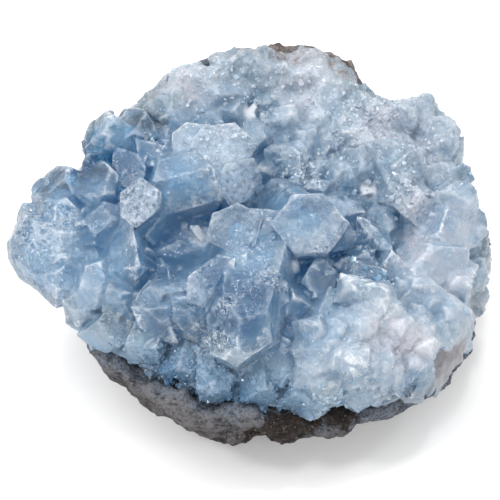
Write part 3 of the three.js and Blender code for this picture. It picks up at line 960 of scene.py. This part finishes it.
def mixColours(tree, share, a, b):
    return node(tree, "Mix", {0: share, 6: a, 7: b}, data_type="RGBA").outputs[2]


def mixNumbers(tree, share, a, b):
    return node(tree, "Mix", {0: share, 2: a, 3: b}, data_type="FLOAT").outputs[0]


def attributes(tree, *names):
    return [node(tree, "Attribute", {}, attribute_name=name).outputs["Fac"] for name in names]


def noise(tree, at, values, output="Fac"):
    return node(tree, "TexNoise", {"Vector": at, **values}).outputs[output]


def cells(tree, at, scale, output="Color"):
    return node(tree, "TexVoronoi", {"Vector": at, "Scale": scale}, feature="F1").outputs[output]


def channel(tree, colour, number):
    return node(tree, "SeparateColor", {0: colour}).outputs[number]


crystal = {
    "clear": (0.4, 0.63, 0.81, 1),
    "cloudy": (0.58, 0.7, 0.82, 1),
    "lilac": (0.56, 0.56, 0.63, 1),
    # the white of real frost, and of the painted glints, sparkle lines, glitter and edge highlights
    "frost": (0.84, 0.88, 0.93, 1),
    "rust": (0.17, 0.125, 0.105, 1),
    "grey": (0.09, 0.19, 0.32, 1),
    # the deeper blue of the painted shade
    "deep": (0.07, 0.24, 0.43, 1),
    "ash": (0.29, 0.295, 0.325, 1),
    "through": (0.92, 0.3),  # where clear, where dull
    "throughLost": (0.5, 0.8),  # where lilac, where stony
    "roughness": (0.05, 0.35),  # where clear, where dull
    "sparkleRoughness": 0.08,
    "ior": 1.62,
    "absorb": {"Color": (0.42, 0.73, 0.91, 1), "Density": 80},
}

# The crystals' patterns: noises, cells by their scale, and in pairs the limits between which each fades in.
crystalPattern = {
    "broad": {"Scale": 140, "Detail": 5, "Roughness": 0.62, "Distortion": 0.6},
    "veils": {"Scale": 520, "Detail": 4, "Roughness": 0.7, "Distortion": 1.4},
    "blocks": 260,
    "milkChange": (1.1, 0.9, 0.2),  # by broad, veils and blocks
    "crowd": {"Scale": 95, "Detail": 3, "Roughness": 0.6},
    "crowded": (0.5, 0.62),
    "crowdShare": 0.6,
    "edgeShare": 0.9,
    # painted highlights on the crystals: sparkle lines, glints and glitter cells, all painted white
    "paintedSparkleLines": {"Scale": 420, "Detail": 2, "Roughness": 0.6, "Distortion": 2.0},
    "sparkleLineWidth": 0.035,
    "sparkleLineShare": 0.8,
    "warp": {"Scale": 700, "Detail": 1},
    "warped": 0.0022,
    "paintedGlints": 1300,
    "glintsShown": (0.95, 0.99),
    "glintsCrowded": 0.16,
    "glintSize": (0.04, 0.34),  # smallest, and how much more
    "glintEdge": (0.06, -0.02),
    "sparkleCells": 1000,
    "sparkleShown": (0.45, 0.95),
    "sparkleShare": 0.8,
    "pinkMilk": 1.2,
    "mottled": (0.43, 0.59),
    "ashMottled": 0.3,
    "rustMottled": (0.15, 0.9),  # everywhere, and where mottled
    "facets": 1250,
    "facetTilt": (0.5, 0.7, 0.08),  # where crowded, where glittering, everywhere
    "grains": 1100,
    "grainShare": 0.35,
    "bump": {"Strength": 0.35, "Distance": 0.0006},
}


def paintedSparkleLines(tree, at):
    # painted sparkle: thin winding white lines that stand in for glints, 1 on the line and 0 off it
    thin = crystalPattern["sparkleLineWidth"]
    winding = noise(tree, at, crystalPattern["paintedSparkleLines"])
    away = sums(tree, "ABSOLUTE", minus(tree, winding, 0.5), 0)
    return between(tree, away, (thin, 0.3 * thin))


def paintedGlints(tree, at, crowd):
    # painted glints: short bright spots, few of the small cells are chosen, each cut to its own size
    pattern = crystalPattern
    cell = node(tree, "TexVoronoi", {"Vector": at, "Scale": pattern["paintedGlints"]},
                feature="F1", distance="MANHATTAN")
    chosen = node(tree, "SeparateColor", {0: cell.outputs["Color"]})
    wanted = plus(tree, chosen.outputs[1], times(tree, crowd, pattern["glintsCrowded"]))
    wanted = between(tree, wanted, pattern["glintsShown"])
    smallest, more = pattern["glintSize"]
    reach = plus(tree, times(tree, chosen.outputs[0], more), smallest)
    glintSpot = between(tree, minus(tree, cell.outputs["Distance"], reach), pattern["glintEdge"])
    return times(tree, glintSpot, wanted)


def facetNormal(tree, at, crowd, glitter):
    # the surface's normal, tilted a little in each small cell
    crowded, glittering, everywhere = crystalPattern["facetTilt"]
    turned = vectors(tree, "SUBTRACT", cells(tree, at, crystalPattern["facets"]), (0.5, 0.5, 0.5))
    tilt = plus(tree, times(tree, crowd, crowded), times(tree, glitter, glittering))
    turned = stretched(tree, turned, plus(tree, tilt, everywhere))
    turned = vectors(tree, "ADD", node(tree, "NewGeometry", {}).outputs["Normal"], turned)
    return node(tree, "VectorMath", {0: turned}, operation="NORMALIZE").outputs[0]


def milkiness(tree, at, veils, cloud):
    broad = noise(tree, at, crystalPattern["broad"])
    blocks = channel(tree, cells(tree, at, crystalPattern["blocks"]), 0)
    byBroad, byVeils, byBlocks = (
        times(tree, minus(tree, value, 0.5), share)
        for value, share in zip((broad, veils, blocks), crystalPattern["milkChange"])
    )
    return plus(tree, cloud, plus(tree, plus(tree, byBroad, byVeils), byBlocks), clamp=True)


def whiteness(tree, at, veils, ridge, glitter, frost):
    # white on the edges (frosted edges, and in part a painted highlight), painted sparkle lines, painted
    # glints, painted glitter and real frost, then how crowded they are and where the glitter lies
    pattern = crystalPattern
    crowd = between(tree, noise(tree, at, pattern["crowd"]), pattern["crowded"])
    # white along the crystals' edges: frosted edges, and in part a painted highlight
    edges = times(tree, veils, plus(tree, times(tree, crowd, pattern["edgeShare"]), pattern["edgeShare"]))
    edges = times(tree, ridge, edges, clamp=True)
    crowd = plus(tree, times(tree, crowd, pattern["crowdShare"]), glitter, clamp=True)
    lines = times(tree, paintedSparkleLines(tree, at), crowd)
    warp = vectors(tree, "SUBTRACT", noise(tree, at, pattern["warp"], "Color"), (0.5, 0.5, 0.5))
    warped = vectors(tree, "ADD", at, stretched(tree, warp, pattern["warped"]))
    sparkleCells = between(tree, channel(tree, cells(tree, warped, pattern["sparkleCells"]), 2), pattern["sparkleShown"])
    # painted glitter: these cells are painted white, and are made smoother as well
    sparkleCells = times(tree, glitter, sparkleCells, clamp=True)
    frostAndGlints = largest(tree, edges, times(tree, lines, pattern["sparkleLineShare"]), paintedGlints(tree, warped, crowd),
                      times(tree, sparkleCells, pattern["sparkleShare"]), frost)
    return frostAndGlints, crowd, sparkleCells


def makeCrystalMaterial():
    material, tree, shader = newMaterial("celestite")
    pattern = crystalPattern
    at = here(tree)
    cloud, ridge, glitter, rust, grey, frost, lilac, deep, ash = attributes(
        tree, "cloud", "ridge", "glitter", "rust", "grey", "frost", "lilac", "deep", "ash"
    )
    veils = noise(tree, at, pattern["veils"])
    milk = milkiness(tree, at, veils, cloud)
    frostAndGlints, crowd, sparkleCells = whiteness(tree, at, veils, ridge, glitter, frost)

    pinkish = times(tree, lilac, times(tree, milk, pattern["pinkMilk"]), clamp=True)
    mottled = between(tree, veils, pattern["mottled"])
    ashen = mixColours(tree, times(tree, mottled, pattern["ashMottled"]), crystal["ash"], crystal["rust"])
    everywhere, more = pattern["rustMottled"]
    rusty = times(tree, rust, plus(tree, times(tree, mottled, more), everywhere), clamp=True)
    colour = mixColours(tree, milk, crystal["clear"], crystal["cloudy"])
    for share, tint in (
        (pinkish, crystal["lilac"]),
        # painted shade: the deeper blue where the deep patches lie
        (deep, crystal["deep"]),
        # frost, and the painted glints, sparkle lines, glitter and edge highlights, all painted white
        (frostAndGlints, crystal["frost"]),
        (grey, crystal["grey"]),
        (ash, ashen),
        (rusty, crystal["rust"]),
    ):
        colour = mixColours(tree, share, colour, tint)

    stony = largest(tree, grey, rusty, ash)
    dull = largest(tree, milk, frostAndGlints, stony)
    through = mixNumbers(tree, dull, *crystal["through"])
    for part, lost in zip((lilac, stony), crystal["throughLost"]):
        through = times(tree, through, minus(tree, 1, times(tree, part, lost)))
    rough = mixNumbers(tree, dull, *crystal["roughness"])
    rough = mixNumbers(tree, sparkleCells, rough, crystal["sparkleRoughness"])
    grains = cells(tree, at, pattern["grains"], "Distance")
    bump = node(tree, "Bump", {
        **pattern["bump"],
        "Height": plus(tree, veils, times(tree, grains, pattern["grainShare"])),
        "Normal": facetNormal(tree, at, crowd, glitter),
    }).outputs[0]
    fill(tree, shader, {
        "Base Color": colour,
        "Transmission Weight": through,
        "Roughness": rough,
        "Normal": bump,
        "IOR": crystal["ior"],
    })
    absorb = node(tree, "VolumeAbsorption", crystal["absorb"])
    tree.links.new(absorb.outputs[0], tree.nodes["Material Output"].inputs["Volume"])
    return material


smallCrystals = {
    "clear": (0.34, 0.51, 0.66, 1),
    "cloudy": (0.6, 0.69, 0.78, 1),
    "grains": {"Scale": 420, "Detail": 4, "Roughness": 0.7},
    "evenGrain": 0.4,
    "deepShare": 0.8,
    "greyShare": 1.05,
    "through": 0.12,
    "roughness": 0.16,
}


def makeDruseMaterial():
    # the fine druse: too small and too cloudy to be looked through
    material, tree, shader = newMaterial("fine_druse")
    at = here(tree)
    cloud, rust, grey, lilac, deep = attributes(tree, "cloud", "rust", "grey", "lilac", "deep")
    grainy = noise(tree, at, smallCrystals["grains"])
    milk = plus(tree, cloud, minus(tree, grainy, smallCrystals["evenGrain"]), clamp=True)
    colour = mixColours(tree, milk, smallCrystals["clear"], smallCrystals["cloudy"])
    for share, tint in (
        (times(tree, lilac, milk, clamp=True), crystal["lilac"]),
        # painted shade: the deeper blue of the deep patches, as on the crust
        (times(tree, deep, smallCrystals["deepShare"]), crystal["deep"]),
        (times(tree, grey, smallCrystals["greyShare"], clamp=True), crystal["grey"]),
        (times(tree, rust, grainy, clamp=True), crystal["rust"]),
    ):
        colour = mixColours(tree, share, colour, tint)
    fill(tree, shader, {
        "Base Color": colour,
        "Transmission Weight": smallCrystals["through"],
        "Roughness": smallCrystals["roughness"],
        "IOR": crystal["ior"],
    })
    return material


cloudyRoots = {
    "blue": (0.27, 0.53, 0.73, 1),
    "white": (0.66, 0.76, 0.86, 1),
    "wisps": {"Scale": 230, "Detail": 5, "Roughness": 0.65, "Distortion": 1.0},
    "wispy": 2.2,
    "roughness": 0.6,
}


def makeRootsMaterial():
    material, tree, shader = newMaterial("cloudy_celestite")
    at = here(tree)
    cloud, deep, grey = attributes(tree, "cloud", "deep", "grey")
    wisps = noise(tree, at, cloudyRoots["wisps"])
    milk = plus(tree, cloud, times(tree, minus(tree, wisps, 0.5), cloudyRoots["wispy"]), clamp=True)
    colour = mixColours(tree, milk, cloudyRoots["blue"], cloudyRoots["white"])
    # painted shade: a deeper blue where the deep patches lie, and darker under the grey band
    colour = mixColours(tree, largest(tree, deep, grey), colour, crystal["deep"])
    fill(tree, shader, {"Base Color": colour, "Roughness": cloudyRoots["roughness"]})
    return material


rock = {
    "dark": (0.025, 0.026, 0.032, 1),
    "light": (0.2, 0.196, 0.207, 1),
    "brown": (0.052, 0.039, 0.034, 1),
    "blue": (0.19, 0.24, 0.31, 1),
    "deepBlue": (0.035, 0.055, 0.08, 1),
    "stain": (0.009, 0.006, 0.005, 1),
    "earth": (0.075, 0.042, 0.027, 1),
    "tan": (0.25, 0.215, 0.2, 1),
    "rust": (0.11, 0.07, 0.052, 1),
    "speck": (0.42, 0.38, 0.35, 1),
    "roughness": 0.85,
}

# The rock's patterns, set out as the crystals' are.
rockPattern = {
    "layered": (1, 1, 5),
    "broad": {"Scale": 90, "Detail": 6, "Roughness": 0.65},
    "fibres": {"Scale": 300, "Detail": 6, "Roughness": 0.75},
    "grains": {"Scale": 1300, "Detail": 3, "Roughness": 0.7},
    # less pale in the hollows: painted shade
    "paleParts": (1.3, 0.7, 0.3),  # by fibres, by grains, and less in hollows
    "pale": (0.76, 1.08),
    "brownBelow": (0.024, 0.013),  # height in metres
    "brownShare": (1.6, 0.9),
    "bluish": (0.35, 0.6),
    "patches": {"Scale": 420, "Detail": 6, "Roughness": 0.75},
    "crumbs": {"Scale": 1100, "Detail": 4, "Roughness": 0.8},
    "rusty": (0.47, 0.6),
    "rustyGrain": 0.4,
    "dirtParts": (0.3, 0.7, 2.5),  # by stain, by patches, and how sharply it ends
    "dirty": (0.5, 0.6),
    "earthy": (0.5, 0.64),
    "specks": {"Scale": 1500, "Detail": 2, "Roughness": 0.6},
    "speckShown": (0.65, 0.71),
    "speckShare": 0.6,
    "fibreHeight": 1.5,
    "bump": {"Strength": 0.7, "Distance": 0.0013},
}


def makeRockMaterial():
    material, tree, shader = newMaterial("matrix_rock")
    pattern = rockPattern
    at = here(tree)
    hollow, stain, rust, rim = attributes(tree, "hollow", "stain", "rust", "rim")
    layered = node(tree, "Mapping", {"Vector": at, "Scale": pattern["layered"]}).outputs[0]
    broad = noise(tree, at, pattern["broad"])
    fibres = noise(tree, layered, pattern["fibres"])
    grainy = noise(tree, at, pattern["grains"])
    patchy = noise(tree, at, pattern["patches"])
    crumbly = noise(tree, at, pattern["crumbs"])
    specks = noise(tree, at, pattern["specks"])

    byFibres, byGrains, inHollows = pattern["paleParts"]
    pale = plus(tree, times(tree, fibres, byFibres), times(tree, grainy, byGrains))
    # painted shade: darker where the hollows are
    pale = between(tree, minus(tree, pale, times(tree, hollow, inHollows)), pattern["pale"])
    height = node(tree, "SeparateXYZ", {0: at}).outputs[2]
    broadly, brownest = pattern["brownShare"]
    brown = times(tree, between(tree, height, pattern["brownBelow"]), times(tree, broad, broadly), clamp=True)
    bluish = times(tree, rim, between(tree, grainy, pattern["bluish"]))
    blue = mixColours(tree, pale, rock["deepBlue"], rock["blue"])
    rusty = times(tree, rust, plus(tree, grainy, pattern["rustyGrain"]), clamp=True)
    tan = mixColours(tree, between(tree, patchy, pattern["rusty"]), rock["tan"], rock["rust"])
    byStain, byPatches, sharply = pattern["dirtParts"]
    dirt = plus(tree, times(tree, stain, byStain), times(tree, patchy, byPatches))
    dirt = times(tree, between(tree, dirt, pattern["dirty"]), times(tree, stain, sharply, clamp=True))
    earth = mixColours(tree, between(tree, crumbly, pattern["earthy"]), rock["stain"], rock["earth"])
    speck = times(tree, between(tree, specks, pattern["speckShown"]), pattern["speckShare"])
    colour = mixColours(tree, pale, rock["dark"], rock["light"])
    for share, tint in (
        (times(tree, brown, brownest), rock["brown"]),
        (bluish, blue),
        (rusty, tan),
        (dirt, earth),
        (speck, rock["speck"]),
    ):
        colour = mixColours(tree, share, colour, tint)
    bump = node(tree, "Bump", {
        **pattern["bump"],
        "Height": plus(tree, grainy, times(tree, fibres, pattern["fibreHeight"])),
    }).outputs[0]
    fill(tree, shader, {"Base Color": colour, "Normal": bump, "Roughness": rock["roughness"]})
    return material


studio = {
    "lookAt": (-0.00125, -0.0018, 0.028),
    "distance": 0.52,
    "elevation": 47,
    "halfWidth": 0.0615,
    "sensor": 36,
    "nearest": 0.01,
    "sky": {"Color": (1, 1, 1, 1), "Strength": 0.75},
    "floorSize": 6,
    "floor": {
        "Base Color": (0.95, 0.95, 0.95, 1),
        "Roughness": 0.9,
        "Specular IOR Level": 0.1,
        "Emission Color": (1, 1, 1, 1),
        "Emission Strength": 0.14,
    },
    "lamps": [
        ("panel_light", (-0.20, 0.03, 0.60), 0.6, 1.5),
        ("key_light", (-0.30, -0.16, 0.40), 0.07, 0.5),
        ("fill_light", (0.34, -0.30, 0.36), 0.07, 0.25),
        ("back_light", (0.08, 0.42, 0.34), 0.09, 0.55),
        ("left_light", (-0.14, -0.42, 0.30), 0.04, 0.15),
        ("top_light", (0.06, 0.02, 0.55), 0.06, 0.4),
        ("right_light", (0.40, 0.16, 0.28), 0.05, 0.2),
    ],
}


def makeStudio():
    middle = Vector(studio["lookAt"])
    tilt = math.radians(studio["elevation"])
    away = Vector((0, -math.cos(tilt), math.sin(tilt))) * studio["distance"]
    bpy.ops.object.camera_add(location=middle + away)
    camera = bpy.context.object
    camera.rotation_mode = "QUATERNION"
    camera.rotation_quaternion = (-away).to_track_quat("-Z", "Y")
    camera.data.sensor_width = studio["sensor"]
    camera.data.lens = 0.5 * studio["sensor"] * studio["distance"] / studio["halfWidth"]
    camera.data.clip_start = studio["nearest"]
    bpy.context.scene.camera = camera
    for name, place, size, power in studio["lamps"]:
        bpy.ops.object.light_add(type="AREA", location=place)
        lamp = bpy.context.object
        lamp.name = name
        lamp.data.size = size
        lamp.data.energy = power
        lamp.rotation_mode = "QUATERNION"
        lamp.rotation_quaternion = (middle - lamp.location).to_track_quat("-Z", "Y")
    world = bpy.data.worlds.new("studio")
    bpy.context.scene.world = world
    world.use_nodes = True
    fill(world.node_tree, world.node_tree.nodes["Background"], studio["sky"])
    bpy.ops.mesh.primitive_plane_add(size=studio["floorSize"])
    floor = bpy.context.object
    floor.name = "floor"
    material, tree, shader = newMaterial("white_paper")
    fill(tree, shader, studio["floor"])
    floor.data.materials.append(material)
    bpy.context.scene.view_settings.view_transform = "Standard"


crustPiece = makeCrust()
rootsPiece = makeRoots(crustPiece)
rindPiece = makeRind(crustPiece)
druses = makeDruse(crustPiece)
crystalMaterial = makeCrystalMaterial()
druseMaterial = makeDruseMaterial()
rockMaterial = makeRockMaterial()
rootsPiece.data.materials.append(makeRootsMaterial())
crustPiece.data.materials.append(crystalMaterial)
for piece in druses:
    piece.data.materials.append(druseMaterial)
for piece in [crustPiece, rootsPiece, *druses]:
    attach(piece, "root")
rindPiece.data.materials.append(rockMaterial)
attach(rindPiece, "root")
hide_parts("crystal_crust")
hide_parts("rind")
makeStudio()
